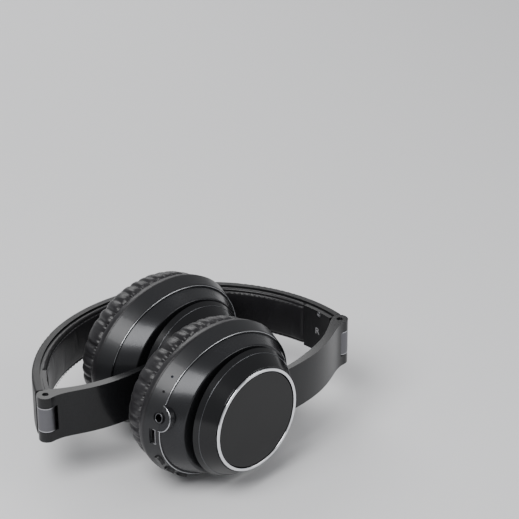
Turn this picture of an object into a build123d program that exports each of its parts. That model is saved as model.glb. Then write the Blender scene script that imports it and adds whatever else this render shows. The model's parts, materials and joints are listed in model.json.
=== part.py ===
from build123d import *
import math
import os

# Folding over ear headphones, folded flat and lying on the rims of both ear cups.
# X runs from the left fold hinge to the right one, Y towards the crown of the band, Z up.
# The origin is on the surface they lie on, under the middle of the whole object.

os.makedirs("parts", exist_ok=True)

# Headband: an arch about a vertical axis
band_radius = 82.4  # outer face of the band
band_width = 24.0  # across the band, upright as it lies
band_end_angle = 9.9  # where the band stops, above the line through its centre
shell_depth = 3.8  # how deep the outer shell reaches inwards
shell_wall = 1.6
channel_width = 15.0  # groove in the shell that the slider runs in
liner_thickness = 1.2
cushion_thickness = 3.0
cushion_width = 23.0
cushion_end_angle = 23.6
cushion_rounding = 1.4
end_cover_thickness = 2.0
seam_gap = 0.3  # between the cushion and the end covers
spring_thickness = 0.8
spring_width = 12.0
spring_end_angle = 42.0
band_screw_angle = 16.0
band_screw_offset = 9.9  # from the band's middle line

# Sliders, which lengthen the band
slider_angle = 27.0  # length of strip inside the band
slider_grip_angle = 1.4  # length of strip inside the hinge block
slider_thickness = 1.0
slider_width = 11.4
slider_gap = 0.6  # to the shell's wall

# Fold hinges
hinge_inset = 3.86  # from the band's outer face
hinge_drop = 4.35  # past the end of the band, along the arch
knuckle_radius = 4.2
knuckle_half_height = 6.0
block_width = 5.6
block_gap = 1.6  # from the hinge block to the end of the band
pin_radius = 1.5
pin_end_inset = 1.0
running_gap = 0.05
washer_thickness = 0.4
washer_gap = 0.2
knuckle_clearance = 1.4  # between the arm and the turning knuckle

# Arms
arm_reach = 81.0  # hinge to the middle of the cup
seat_depth = 5.8  # the cup's seam lies this far inside the hinge
arm_width = 24.0
liner_wall = 1.4
liner_inset = 1.4  # from the arm's edges
arm_screw_reach = 34.0
arm_screw_offset = 6.0

# Ear cups: ovals, longer than they are high
oval = 1.2  # length over height
rim_height = 37.8  # half height at the seam with the pad
rim_depth = 7.0
rim_taper = 2.4
rim_wall = 2.2
barrel_step = 1.2
barrel_depth = 9.0
barrel_back_height = 32.1
barrel_back_length = 35.0
barrel_wall = 2.0
barrel_back_wall = 1.8
barrel_rounding = 0.8
post_radius = 2.6
post_length_offset = 24.0
post_height_offset = 20.0

# Round cap at the end of each arm
cap_gap = 2.3  # dark groove between the barrel and the cap
cap_radius = 32.3
cap_roll = 0.9
cap_depth = 9.7  # from the groove to the land that the ring sits on
cap_land_radius = 26.5
cap_wall = 2.0
ring_outer_radius = 25.9
ring_inner_radius = 24.4
ring_depth = 1.2
disc_thickness = 1.6
disc_recess = 0.8
disc_gap = 0.2

# Tilt pivot in the middle of each cap
pivot_above_groove = 3.2
tilt_pin_length = 20.0
lug_half_length = 5.0
lug_half_height = 6.0
lug_top = 2.2  # above the pivot
window_gap = 1.2
boss_gap = 0.3
boss_half_length = 4.0

# Ear pads
pad_thickness = 17.3
pad_plate_thickness = 1.5
pad_height = 35.0
pad_length = 41.5
pad_rounding = 9.0
ear_height = 20.5
ear_length = 27.0
ear_bevel = 5.0
cloth_thickness = 0.5

# Loudspeakers and what is behind them
baffle_thickness = 2.5
baffle_gap = 0.2
rebate_wall = 1.8
driver_radius = 20.0
magnet_radius = 9.0
magnet_top = 13.0
board_thickness = 1.2
board_seat = 10.5
board_near = 12.0
board_far = 30.0
board_half_height = 14.0
battery_near = 23.0
battery_length = 10.0
battery_height = 26.0
battery_thickness = 5.5
battery_seat = 3.2

# Controls and sockets on the right cup's rim, by angle up from the end of the oval
jack_angle = 15.7
jack_seat = 6.6
jack_radius = 2.8
jack_bore_radius = 1.8
jack_length = 15.0
jack_proud = 0.5
jack_boss_radius = 6.2
jack_boss_depth = 3.0
port_angle = -0.7
port_length = 8.0
port_width = 3.0
port_depth = 6.5
port_wall = 0.35
light_angle = 45.8
microphone_angle = 34.5
pinhole_radius = 0.6
socket_seat = 4.2
button_angles = {"power_button": -25.0, "volume_up_button": -40.0, "volume_down_button": -54.0}
button_length = 6.4
button_width = 3.2
button_proud = 0.9
button_depth = 3.4
button_gap = 0.25

# The folded cups lie one behind the other, turned so that their whole depth fits between the hinges
nested_gap = 1.0  # from one cup's ring to the other cup's pad

# Screws
small_head_radius = 1.5
small_head_depth = 1.0
small_shank_radius = 0.7
small_screw_length = 3.6
cup_head_radius = 1.9
cup_head_depth = 1.4
cup_shank_radius = 1.0
cup_screw_length = 8.0

# Sizes that follow from the ones above
hinge_radius = band_radius - hinge_inset
hinge_turn = math.radians(band_end_angle) - hinge_drop / hinge_radius
hinge_x = hinge_radius * math.cos(hinge_turn)
hinge_rise = hinge_radius * math.sin(hinge_turn)
ring_top = rim_depth + barrel_depth + cap_gap + cap_depth + ring_depth
lean = math.asin((pad_thickness + pad_plate_thickness + ring_top + nested_gap) / (2 * hinge_x))
outward = Vector(math.sin(lean), -math.cos(lean), 0)
mid_height = rim_height
rim_length = rim_height * oval
front_edge = hinge_rise - arm_reach * math.sin(lean) + seat_depth * math.cos(lean)
front_edge -= ring_top * math.cos(lean) + ring_outer_radius * math.sin(lean)
band_y = -(band_radius + front_edge) / 2
hinge_y = band_y + hinge_rise
groove = rim_depth + barrel_depth
cap_seat = groove + cap_gap
cap_top = cap_seat + cap_depth
pivot_seat = cap_seat + pivot_above_groove
shell_inner = band_radius - shell_depth
liner_inner = shell_inner - liner_thickness
strip_outer = band_radius - shell_wall - slider_gap
strip_inner = strip_outer - slider_thickness
ear_inset = knuckle_half_height + washer_thickness + washer_gap
sides = {"left": -1, "right": 1}


def arch_face(plane, inner, outer, start, end):
    """Sector of a ring about the band's centre, from one angle to another."""
    with BuildSketch(plane) as face:
        with BuildLine():
            outer_arc = CenterArc((0, 0), outer, start, end - start)
            inner_arc = CenterArc((0, 0), inner, start, end - start)
            Line(outer_arc @ 0, inner_arc @ 0)
            Line(outer_arc @ 1, inner_arc @ 1)
        make_face()
    return face.sketch


def band_plane(height=0.0):
    return Plane(origin=(0, band_y, mid_height + height), x_dir=(1, 0, 0), z_dir=(0, 0, 1))


def side_angles(side, start, end):
    """The same pair of angles on the right end of the band or mirrored to the left."""
    return (start, end) if side > 0 else (180 - end, 180 - start)


def arm_direction(side):
    """Along a folded arm, from its hinge to its cup."""
    return Vector(-side * math.cos(lean), -side * math.sin(lean), 0)


def hinge_centre(side):
    return Vector(side * hinge_x, hinge_y, mid_height)


def cup_centre(side):
    return hinge_centre(side) + arm_direction(side) * arm_reach - outward * seat_depth


def arm_plane(side, height=0.0):
    """Plan of an arm: x along it from the hinge, y outwards."""
    origin = hinge_centre(side) + Vector(0, 0, height * side)
    return Plane(origin=origin, x_dir=arm_direction(side), z_dir=(0, 0, side))


def cup_plan(side):
    """Plan of a cup: x along the arm, y outwards from the seam."""
    return Plane(origin=cup_centre(side), x_dir=arm_direction(side), z_dir=(0, 0, side))


def seat(side, axial):
    """Plane across a cup's axis, a distance outwards from the seam."""
    return Plane(origin=cup_centre(side) + outward * axial, x_dir=arm_direction(side), z_dir=outward)


def cup_axis(side):
    return Axis(cup_centre(side), outward)


def rim_plane(angle, axial):
    """Plane on the right cup's rim, facing out of it, with y towards the crown of the cap."""
    length = rim_length - rim_taper * oval * axial / rim_depth
    height = rim_height - rim_taper * axial / rim_depth
    turn = math.radians(angle)
    along = arm_direction(1)
    up = Vector(0, 0, 1)
    point = along * (length * math.cos(turn)) + up * (height * math.sin(turn))
    normal = (along * (math.cos(turn) / length) + up * (math.sin(turn) / height)).normalized()
    return Plane(origin=cup_centre(1) + outward * axial + point, x_dir=normal.cross(outward), z_dir=normal)


def save(piece, name):
    piece.part.label = name
    export_step(piece.part, f"parts/{name}.step")


# ---------------------------------------------------------------- headband


def band_screws(mode=Mode.ADD):
    """Two small screws through each end cover into the shell's lips."""
    for side in sides.values():
        turn = math.radians(band_screw_angle if side > 0 else 180 - band_screw_angle)
        ray = Vector(math.cos(turn), math.sin(turn), 0)
        face_radius = liner_inner - end_cover_thickness
        for level in (-band_screw_offset, band_screw_offset):
            base = Vector(0, band_y, mid_height + level)
            with BuildSketch(Plane(origin=base + ray * (face_radius - 0.2), z_dir=ray)) as profile:
                Circle(small_head_radius)
            extrude(profile.sketch, amount=small_head_depth + 0.2, mode=mode)
            with BuildSketch(Plane(origin=base + ray * (face_radius + small_head_depth), z_dir=ray)) as profile:
                Circle(small_shank_radius)
            extrude(profile.sketch, amount=small_screw_length, mode=mode)


def make_headband():
    start, end = band_end_angle, 180 - band_end_angle

    with BuildPart() as band_shell:
        add(arch_face(band_plane(-band_width / 2), shell_inner, band_radius, start, end))
        extrude(amount=band_width)
        fillet(band_shell.edges().filter_by(GeomType.CIRCLE).sort_by(lambda e: e.radius)[-2:], 1.2)
        channel_outer = band_radius - shell_wall
        add(arch_face(band_plane(-channel_width / 2), shell_inner - 1, channel_outer, start - 2, end + 2))
        extrude(amount=channel_width, mode=Mode.SUBTRACT)
        band_screws(mode=Mode.SUBTRACT)
    save(band_shell, "band_shell")

    with BuildPart() as band_spring:
        spring_outer = band_radius - shell_wall
        ends = (spring_end_angle, 180 - spring_end_angle)
        add(arch_face(band_plane(-spring_width / 2), spring_outer - spring_thickness, spring_outer, *ends))
        extrude(amount=spring_width)
    save(band_spring, "band_spring")

    with BuildPart() as band_liner:
        liner_width = cushion_width - 1
        add(arch_face(band_plane(-liner_width / 2), liner_inner, shell_inner, start, end))
        extrude(amount=liner_width)
        band_screws(mode=Mode.SUBTRACT)
    save(band_liner, "band_liner")

    with BuildPart() as band_cushion:
        ends = (cushion_end_angle, 180 - cushion_end_angle)
        add(arch_face(band_plane(-cushion_width / 2), liner_inner - cushion_thickness, liner_inner, *ends))
        extrude(amount=cushion_width)
        inner_edges = band_cushion.edges().filter_by(GeomType.CIRCLE).sort_by(lambda e: e.radius)[:2]
        fillet(inner_edges, cushion_rounding)
    save(band_cushion, "band_cushion")

    for name, side in sides.items():
        with BuildPart() as end_cover:
            cover_end = cushion_end_angle - math.degrees(seam_gap / liner_inner)
            ends = side_angles(side, band_end_angle, cover_end)
            cover_inner = liner_inner - end_cover_thickness
            add(arch_face(band_plane(-cushion_width / 2), cover_inner, liner_inner, *ends))
            extrude(amount=cushion_width)
            band_screws(mode=Mode.SUBTRACT)
        save(end_cover, f"end_cover_{name}")

    with BuildPart() as screws:
        band_screws()
    save(screws, "band_screws")


# ---------------------------------------------------------------- sliders and hinges


def slider_strip_solid(side, mode=Mode.ADD):
    ends = side_angles(side, band_end_angle - slider_grip_angle, band_end_angle + slider_angle)
    add(arch_face(band_plane(-slider_width / 2), strip_inner, strip_outer, *ends))
    extrude(amount=slider_width, mode=mode)


def make_slider(name, side):
    with BuildPart() as strip:
        slider_strip_solid(side)
        middle = math.radians(band_end_angle + slider_angle - 4)
        spot = Vector(side * math.cos(middle), math.sin(middle), 0)
        with BuildSketch(Plane(origin=Vector(0, band_y, mid_height) + spot * (strip_inner - 1), z_dir=spot)):
            SlotOverall(slider_width / 2, 2.4)
        extrude(amount=3, mode=Mode.SUBTRACT)
    save(strip, f"slider_strip_{name}")

    with BuildPart() as block:
        with BuildSketch(Plane(origin=hinge_centre(side) - Vector(0, 0, knuckle_half_height))):
            Circle(knuckle_radius)
            stem = band_radius * math.sin(math.radians(band_end_angle)) - hinge_rise - block_gap
            with Locations((0, stem / 2)):
                Rectangle(block_width, stem)
        extrude(amount=2 * knuckle_half_height)
        slider_strip_solid(side, mode=Mode.SUBTRACT)
        with BuildSketch(Plane(origin=hinge_centre(side) - Vector(0, 0, knuckle_half_height))):
            Circle(pin_radius)
        extrude(amount=2 * knuckle_half_height, mode=Mode.SUBTRACT)
    save(block, f"hinge_block_{name}")

    with BuildPart() as pin:
        pin_half = arm_width / 2 - pin_end_inset
        with BuildSketch(Plane(origin=hinge_centre(side) - Vector(0, 0, pin_half))):
            Circle(pin_radius)
        extrude(amount=2 * pin_half)
    save(pin, f"hinge_pin_{name}")

    with BuildPart() as washers:
        for level in (knuckle_half_height, -knuckle_half_height - washer_thickness):
            with BuildSketch(Plane(origin=hinge_centre(side) + Vector(0, 0, level))):
                Circle(knuckle_radius)
                Circle(pin_radius, mode=Mode.SUBTRACT)
            extrude(amount=washer_thickness)
    save(washers, f"hinge_washers_{name}")


# ---------------------------------------------------------------- arms and caps


def arm_outer_line():
    reach = arm_reach - cap_land_radius
    rise = cap_seat + cap_wall + 0.9 - seat_depth
    points = [(0, knuckle_radius), (6, 5.0), (12.7, 7.8), (21.6, 11.5), (31.8, 14.2), (41, rise - 0.1), (reach, rise)]
    return Spline(points)


def arm_inner_line(shift=0.0):
    reach = arm_reach - cap_land_radius
    floor = cap_seat - seat_depth
    points = [(5, -1.8), (13, 3.3), (22, 7.4), (32, 10.1), (42.5, 12.0), (47, floor), (reach, floor)]
    return Spline([(x, y + shift) for x, y in points])


def arm_liner_solid(side, mode=Mode.ADD):
    """Inner skin of the arm, with the disc that closes the cap's back."""
    width = arm_width - 2 * liner_inset
    with BuildSketch(arm_plane(side, -width / 2)) as profile:
        with BuildLine():
            inner = arm_inner_line()
            upper = arm_inner_line(liner_wall)
            Line(inner @ 0, upper @ 0)
            Line(inner @ 1, upper @ 1)
        make_face()
    extrude(profile.sketch, amount=width, mode=mode)
    with BuildSketch(seat(side, cap_seat)) as profile:
        Circle(cap_radius - cap_roll - cap_wall)
    extrude(profile.sketch, amount=liner_wall, mode=mode)


def knuckle_room(side):
    """Space for the hinge block to turn in, between the arm's two ears."""
    with BuildSketch(arm_plane(side, -ear_inset)) as profile:
        Circle(knuckle_radius + knuckle_clearance)
    extrude(profile.sketch, amount=2 * ear_inset, mode=Mode.SUBTRACT)


def arm_screws_solid(side, mode=Mode.ADD):
    """Two screws from the arm's inner face through the liner into the shell."""
    start = cap_seat - seat_depth - 2.5
    for level in (-arm_screw_offset, arm_screw_offset):
        base = hinge_centre(side) + arm_direction(side) * arm_screw_reach + Vector(0, 0, level)
        with BuildSketch(Plane(origin=base + outward * start, z_dir=outward)) as profile:
            Circle(small_head_radius)
        extrude(profile.sketch, amount=small_head_depth + 0.6, mode=mode)
        with BuildSketch(Plane(origin=base + outward * (start + small_head_depth + 0.6), z_dir=outward)) as profile:
            Circle(small_shank_radius)
        extrude(profile.sketch, amount=small_screw_length - small_head_depth, mode=mode)


def make_arm(name, side):
    with BuildPart() as shell:
        with BuildSketch(arm_plane(side, -arm_width / 2)):
            with BuildLine():
                outer = arm_outer_line()
                inner = arm_inner_line()
                Line(outer @ 1, inner @ 1)
                heel = Line(inner @ 0, (0, -knuckle_radius))
                ThreePointArc(heel @ 1, (-knuckle_radius, 0), outer @ 0)
            make_face()
        extrude(amount=arm_width)
        with BuildSketch(cup_plan(side)):
            with BuildLine():
                Polyline(
                    (0, cap_top - disc_thickness + disc_recess - cap_wall),
                    (0, cap_top - disc_thickness + disc_recess),
                    (ring_inner_radius, cap_top - disc_thickness + disc_recess),
                    (ring_inner_radius, cap_top),
                    (cap_land_radius, cap_top),
                    (cap_radius, cap_seat + cap_roll),
                    (cap_radius - cap_roll, cap_seat),
                    (cap_radius - cap_roll - cap_wall, cap_seat),
                    (cap_radius - cap_roll - cap_wall, cap_seat + cap_wall),
                    (cap_land_radius - cap_wall, cap_top - disc_thickness + disc_recess - cap_wall),
                    close=True,
                )
            make_face()
        revolve(axis=cup_axis(side))
        with BuildSketch(cup_plan(side)):
            with BuildLine():
                Polyline(
                    (0, cap_seat),
                    (cap_radius - cap_roll - cap_wall, cap_seat),
                    (cap_radius - cap_roll - cap_wall, cap_seat + cap_wall),
                    (cap_land_radius - cap_wall, cap_top - disc_thickness + disc_recess - cap_wall),
                    (0, cap_top - disc_thickness + disc_recess - cap_wall),
                    close=True,
                )
            make_face()
        revolve(axis=cup_axis(side), mode=Mode.SUBTRACT)
        arm_liner_solid(side, mode=Mode.SUBTRACT)
        knuckle_room(side)
        with BuildSketch(arm_plane(side, -arm_width / 2)):
            Circle(pin_radius + running_gap)
        extrude(amount=arm_width, mode=Mode.SUBTRACT)
        arm_screws_solid(side, mode=Mode.SUBTRACT)
    save(shell, f"arm_shell_{name}")

    with BuildPart() as liner:
        arm_liner_solid(side)
        for level in (-1, 1):
            inner_face = lug_half_height + boss_gap
            outer_face = tilt_pin_length / 2
            middle = level * (inner_face + outer_face) / 2
            with BuildSketch(seat(side, cap_seat)):
                with Locations((0, middle)):
                    Rectangle(2 * boss_half_length, outer_face - inner_face)
            extrude(amount=pivot_above_groove + pin_radius + 1)
        with BuildSketch(seat(side, cap_seat)):
            Rectangle(2 * (lug_half_length + window_gap), 2 * (lug_half_height + boss_gap))
        extrude(amount=liner_wall, mode=Mode.SUBTRACT)
        pin_base = cup_centre(side) + outward * pivot_seat - Vector(0, 0, tilt_pin_length / 2)
        with BuildSketch(Plane(origin=pin_base)):
            Circle(pin_radius)
        extrude(amount=tilt_pin_length, mode=Mode.SUBTRACT)
        knuckle_room(side)
        arm_screws_solid(side, mode=Mode.SUBTRACT)
    save(liner, f"arm_liner_{name}")

    with BuildPart() as screws:
        arm_screws_solid(side)
    save(screws, f"arm_screws_{name}")

    with BuildPart() as ring:
        with BuildSketch(seat(side, cap_top)):
            Circle(ring_outer_radius)
            Circle(ring_inner_radius, mode=Mode.SUBTRACT)
        extrude(amount=ring_depth)
        top_edges = ring.faces().sort_by(cup_axis(side))[-1].edges()
        fillet(top_edges, 0.6)
    save(ring, f"trim_ring_{name}")

    with BuildPart() as disc:
        with BuildSketch(seat(side, cap_top - disc_thickness + disc_recess)):
            Circle(ring_inner_radius - disc_gap)
        extrude(amount=disc_thickness)
        chamfer(disc.faces().sort_by(cup_axis(side))[-1].edges(), 0.4)
    save(disc, f"cap_disc_{name}")

    with BuildPart() as pin:
        with BuildSketch(Plane(origin=pin_base)):
            Circle(pin_radius)
        extrude(amount=tilt_pin_length)
    save(pin, f"tilt_pin_{name}")


# ---------------------------------------------------------------- ear cups


def oval_slab(side, axial, length, height, depth, mode=Mode.ADD):
    with BuildSketch(seat(side, axial)) as profile:
        Ellipse(length, height)
    extrude(profile.sketch, amount=depth, mode=mode)


def oval_loft(side, near, far, mode=Mode.ADD):
    """Tapered oval between two sections, each an axial place with its half length and half height."""
    sections = []
    for axial, length, height in (near, far):
        with BuildSketch(seat(side, axial)) as section:
            Ellipse(length, height)
        sections.append(section.sketch)
    loft(sections, mode=mode)


def cup_screws_solid(side, mode=Mode.ADD):
    spots = [(x * post_length_offset, y * post_height_offset) for x in (-1, 1) for y in (-1, 1)]
    with BuildSketch(seat(side, 0)) as profile:
        with Locations(*spots):
            Circle(cup_head_radius)
    extrude(profile.sketch, amount=cup_head_depth, mode=mode)
    with BuildSketch(seat(side, cup_head_depth)) as profile:
        with Locations(*spots):
            Circle(cup_shank_radius)
    extrude(profile.sketch, amount=cup_screw_length - cup_head_depth, mode=mode)


def rim_cuts():
    """Openings in the right cup for its sockets, lenses and buttons."""
    with BuildSketch(rim_plane(jack_angle, jack_seat).offset(-jack_length)) as profile:
        Circle(jack_radius)
    extrude(profile.sketch, amount=2 * jack_length, mode=Mode.SUBTRACT)
    with BuildSketch(rim_plane(port_angle, socket_seat).offset(-port_depth)) as profile:
        Rectangle(port_length, port_width)
    extrude(profile.sketch, amount=2 * port_depth, mode=Mode.SUBTRACT)
    for angle in (light_angle, microphone_angle):
        with BuildSketch(rim_plane(angle, socket_seat).offset(-port_depth)) as profile:
            Circle(pinhole_radius)
        extrude(profile.sketch, amount=2 * port_depth, mode=Mode.SUBTRACT)
    for angle in button_angles.values():
        with BuildSketch(rim_plane(angle, socket_seat).offset(-port_depth)) as profile:
            SlotOverall(button_length + 2 * button_gap, button_width + 2 * button_gap)
        extrude(profile.sketch, amount=2 * port_depth, mode=Mode.SUBTRACT)


def make_cup(name, side):
    step_length = (rim_height - rim_taper) * oval
    step_height = rim_height - rim_taper
    inner_length = rim_length - rebate_wall - baffle_gap
    inner_height = rim_height - rebate_wall - baffle_gap

    with BuildPart() as rim:
        oval_loft(side, (0, rim_length, rim_height), (rim_depth, step_length, step_height))
        near = (0, rim_length - rim_wall, rim_height - rim_wall)
        far = (rim_depth, step_length - rim_wall, step_height - rim_wall)
        oval_loft(side, near, far, mode=Mode.SUBTRACT)
        length = rim_length - rebate_wall
        height = rim_height - rebate_wall
        oval_slab(side, 0, length, height, baffle_thickness, mode=Mode.SUBTRACT)
        if side > 0:
            rim_cuts()
    save(rim, f"cup_rim_{name}")

    with BuildPart() as barrel:
        near = (rim_depth, step_length - barrel_step, step_height - barrel_step)
        far = (groove, barrel_back_length, barrel_back_height)
        oval_loft(side, near, far)
        back = barrel.faces().sort_by(cup_axis(side))[-1]
        fillet(back.edges(), barrel_rounding)
        near = (rim_depth, near[1] - barrel_wall, near[2] - barrel_wall)
        far = (groove - barrel_back_wall, far[1] - barrel_wall, far[2] - barrel_wall)
        if side > 0:
            with BuildSketch(rim_plane(jack_angle, rim_depth).offset(-jack_boss_depth)):
                Circle(jack_boss_radius)
            extrude(amount=jack_boss_depth)
            oval_slab(side, 0, rim_length, rim_height, rim_depth, mode=Mode.SUBTRACT)
        oval_loft(side, near, far, mode=Mode.SUBTRACT)
        with BuildSketch(seat(side, baffle_thickness)):
            with Locations(*[(x * post_length_offset, y * post_height_offset) for x in (-1, 1) for y in (-1, 1)]):
                Circle(post_radius)
        extrude(amount=groove - baffle_thickness - barrel_back_wall)
        cup_screws_solid(side, mode=Mode.SUBTRACT)
        if side > 0:
            rim_cuts()
    save(barrel, f"cup_barrel_{name}")

    with BuildPart() as lug:
        with BuildSketch(seat(side, groove)):
            Rectangle(2 * lug_half_length, 2 * lug_half_height)
        extrude(amount=pivot_seat - groove + lug_top)
        pin_base = cup_centre(side) + outward * pivot_seat - Vector(0, 0, tilt_pin_length / 2)
        with BuildSketch(Plane(origin=pin_base)):
            Circle(pin_radius + running_gap)
        extrude(amount=tilt_pin_length, mode=Mode.SUBTRACT)
    save(lug, f"tilt_lug_{name}")

    with BuildPart() as baffle:
        oval_slab(side, 0, inner_length, inner_height, baffle_thickness)
        with BuildSketch(seat(side, 0)):
            Circle(driver_radius)
        extrude(amount=baffle_thickness, mode=Mode.SUBTRACT)
        cup_screws_solid(side, mode=Mode.SUBTRACT)
    save(baffle, f"baffle_{name}")

    with BuildPart() as screws:
        cup_screws_solid(side)
    save(screws, f"cup_screws_{name}")

    with BuildPart() as basket:
        with BuildSketch(cup_plan(side)):
            with BuildLine():
                Polyline(
                    (driver_radius, 0),
                    (driver_radius, 3),
                    (magnet_radius + 3, 8),
                    (magnet_radius, 8),
                    (magnet_radius, 6.5),
                    (magnet_radius + 2, 6.5),
                    (driver_radius - 2, 2.2),
                    (driver_radius - 2, 0),
                    close=True,
                )
            make_face()
        revolve(axis=cup_axis(side))
    save(basket, f"driver_basket_{name}")

    with BuildPart() as magnet:
        with BuildSketch(seat(side, 6.5)):
            Circle(magnet_radius)
        extrude(amount=magnet_top - 6.5)
    save(magnet, f"driver_magnet_{name}")

    with BuildPart() as diaphragm:
        with BuildSketch(cup_plan(side)):
            with BuildLine():
                Polyline(
                    (0, 2.6),
                    (magnet_radius * 0.6, 2.2),
                    (magnet_radius, 1.2),
                    (driver_radius - 2, 1.0),
                    (driver_radius - 2, 0.6),
                    (magnet_radius, 0.8),
                    (magnet_radius * 0.6, 1.8),
                    (0, 2.2),
                    close=True,
                )
            make_face()
        revolve(axis=cup_axis(side))
    save(diaphragm, f"driver_diaphragm_{name}")

    with BuildPart() as plate:
        oval_slab(side, -pad_plate_thickness, pad_length - 0.8, pad_height - 0.8, pad_plate_thickness)
        oval_slab(side, -pad_plate_thickness, ear_length, ear_height, pad_plate_thickness, mode=Mode.SUBTRACT)
    save(plate, f"pad_plate_{name}")

    with BuildPart() as cloth:
        oval_slab(side, -cloth_thickness, ear_length, ear_height, cloth_thickness)
    save(cloth, f"speaker_cloth_{name}")

    with BuildPart() as pad:
        front = -pad_plate_thickness - pad_thickness
        oval_slab(side, front, pad_length, pad_height, pad_thickness)
        face = pad.faces().sort_by(cup_axis(side))[0]
        fillet(face.edges(), pad_rounding)
        oval_slab(side, front, ear_length, ear_height, pad_thickness, mode=Mode.SUBTRACT)
        face = pad.faces().sort_by(cup_axis(side))[0]
        chamfer(face.edges().sort_by(SortBy.LENGTH)[:1], ear_bevel)
    save(pad, f"ear_pad_{name}")


# ---------------------------------------------------------------- what only one cup holds


def make_right_electronics():
    with BuildPart() as board:
        with BuildSketch(seat(1, board_seat)):
            with Locations(((board_near + board_far) / 2, 0)):
                RectangleRounded(board_far - board_near, 2 * board_half_height, 2)
        extrude(amount=board_thickness)
    save(board, "circuit_board")

    with BuildPart() as jack:
        with BuildSketch(rim_plane(jack_angle, jack_seat).offset(-jack_length + jack_proud)):
            Circle(jack_radius)
            Circle(jack_bore_radius, mode=Mode.SUBTRACT)
        extrude(amount=jack_length)
    save(jack, "audio_socket")

    with BuildPart() as port:
        with BuildSketch(rim_plane(port_angle, socket_seat).offset(-port_depth)):
            Rectangle(port_length, port_width)
            Rectangle(port_length - 2 * port_wall, port_width - 2 * port_wall, mode=Mode.SUBTRACT)
        extrude(amount=port_depth - 0.4)
    save(port, "charging_socket")

    for name, angle in (("light_lens", light_angle), ("microphone_cap", microphone_angle)):
        with BuildPart() as lens:
            with BuildSketch(rim_plane(angle, socket_seat).offset(-3)):
                Circle(pinhole_radius)
            extrude(amount=2.8)
        save(lens, name)

    for name, angle in button_angles.items():
        with BuildPart() as button:
            with BuildSketch(rim_plane(angle, socket_seat).offset(-button_depth)):
                SlotOverall(button_length, button_width)
            extrude(amount=button_depth + button_proud)
        save(button, name)


def make_battery():
    with BuildPart() as battery:
        with BuildSketch(seat(-1, battery_seat)):
            with Locations((battery_near + battery_length / 2, 0)):
                RectangleRounded(battery_length, battery_height, 1.5)
        extrude(amount=battery_thickness)
    save(battery, "battery")


make_headband()
for side_name, side_sign in sides.items():
    make_slider(side_name, side_sign)
    make_arm(side_name, side_sign)
    make_cup(side_name, side_sign)
make_right_electronics()
make_battery()
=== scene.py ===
"""Folding over ear headphones, folded flat and standing on their cup rims."""

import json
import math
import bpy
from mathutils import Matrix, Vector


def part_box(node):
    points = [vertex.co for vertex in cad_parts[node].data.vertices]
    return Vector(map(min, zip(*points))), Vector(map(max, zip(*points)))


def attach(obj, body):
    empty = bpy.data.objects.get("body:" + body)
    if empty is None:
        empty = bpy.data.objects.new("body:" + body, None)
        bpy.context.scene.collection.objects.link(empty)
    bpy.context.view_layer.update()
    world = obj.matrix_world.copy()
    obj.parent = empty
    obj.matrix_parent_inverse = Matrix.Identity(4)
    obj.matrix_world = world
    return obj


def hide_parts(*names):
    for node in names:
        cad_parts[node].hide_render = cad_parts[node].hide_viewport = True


bl_info = {
    "name": "Folding over ear headphones",
    "version": (1, 0, 0),
    "blender": (4, 5, 0),
    "location": "3D View > Sidebar > Headphones",
    "description": "Padding, trim, finishes and studio for a pair of folding over ear headphones",
    "category": "Add Mesh",
}

import bpy
import numpy as np
from mathutils import Vector

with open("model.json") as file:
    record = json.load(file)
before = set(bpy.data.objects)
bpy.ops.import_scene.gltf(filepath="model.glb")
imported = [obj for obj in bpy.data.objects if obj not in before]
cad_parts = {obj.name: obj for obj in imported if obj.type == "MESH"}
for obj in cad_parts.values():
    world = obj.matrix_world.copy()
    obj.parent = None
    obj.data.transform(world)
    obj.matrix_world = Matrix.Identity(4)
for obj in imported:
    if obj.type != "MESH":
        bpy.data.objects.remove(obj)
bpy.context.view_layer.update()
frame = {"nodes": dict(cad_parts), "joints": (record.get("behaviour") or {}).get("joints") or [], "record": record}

SIDES = ("left", "right")
MM = 0.001
UP = Vector((0.0, 0.0, 1.0))
JOINTS = {joint["name"]: joint for joint in frame["joints"]}

# Cups, in metres from the middle of the cup's mouth
PLATE_THICKNESS = 1.5 * MM
RIM_OVAL = 1.2  # how much longer than high a cup's rim is
CUP_STEP_LONG = 41.95 * MM
CUP_STEP_SHORT = 34.85 * MM
CUP_STEP_OUT = 7.1 * MM
CAP_LINE_RADIUS = 30.72 * MM
CAP_LINE_OUT = 21.6 * MM

# Audio socket
SOCKET_FACE = 7.0 * MM
SOCKET_MOUTH = 1.8 * MM
BOSS_RADIUS = 6.2 * MM

# Padding: the solver's pressure, how far a point may move, and depths of what is sewn
SOLVER_SCALE = 10.0
PAD_PRESSURE = 4.0
PAD_SWELL = 1.6 * MM
TUCK_DEPTH = 0.45 * MM
FINE_CREASE_DEPTH = 0.10 * MM
PUCKER_DEPTH = 0.35 * MM
PUCKERS = 38
CUSHION_PRESSURE = 3.0
CUSHION_SWELL = 0.3 * MM
CUSHION_CREASES = 14
CUSHION_CREASE_DEPTH = 0.09 * MM
CHANNEL_PLACE = 0.86  # share of the half width
CHANNEL_DEPTH = 0.55 * MM

# Letters inside the band's ends
END_COVER_RADIUS = 75.4 * MM
MARK_ANGLE = math.radians(16.6)
MARK_HEIGHT = 5.0 * MM

SCREW_NODES = {
    "band_screws": "headband",
    "arm_screws_left": "arm_left",
    "arm_screws_right": "arm_right",
    "cup_screws_left": "cup_left",
    "cup_screws_right": "cup_right",
}

# Camera, in metres and millimetres of lens
CAMERA_PLACE = (-0.36279, -0.788585, 0.562216)
CAMERA_AIM = (0.39942, 0.78591, -0.47202)
CAMERA_LENS = 144.68


# ---------------------------------------------------------------- the frame's own places


def middle(node):
    """The middle of a CAD node's box."""
    low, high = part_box(node)
    return (low + high) / 2


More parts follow.
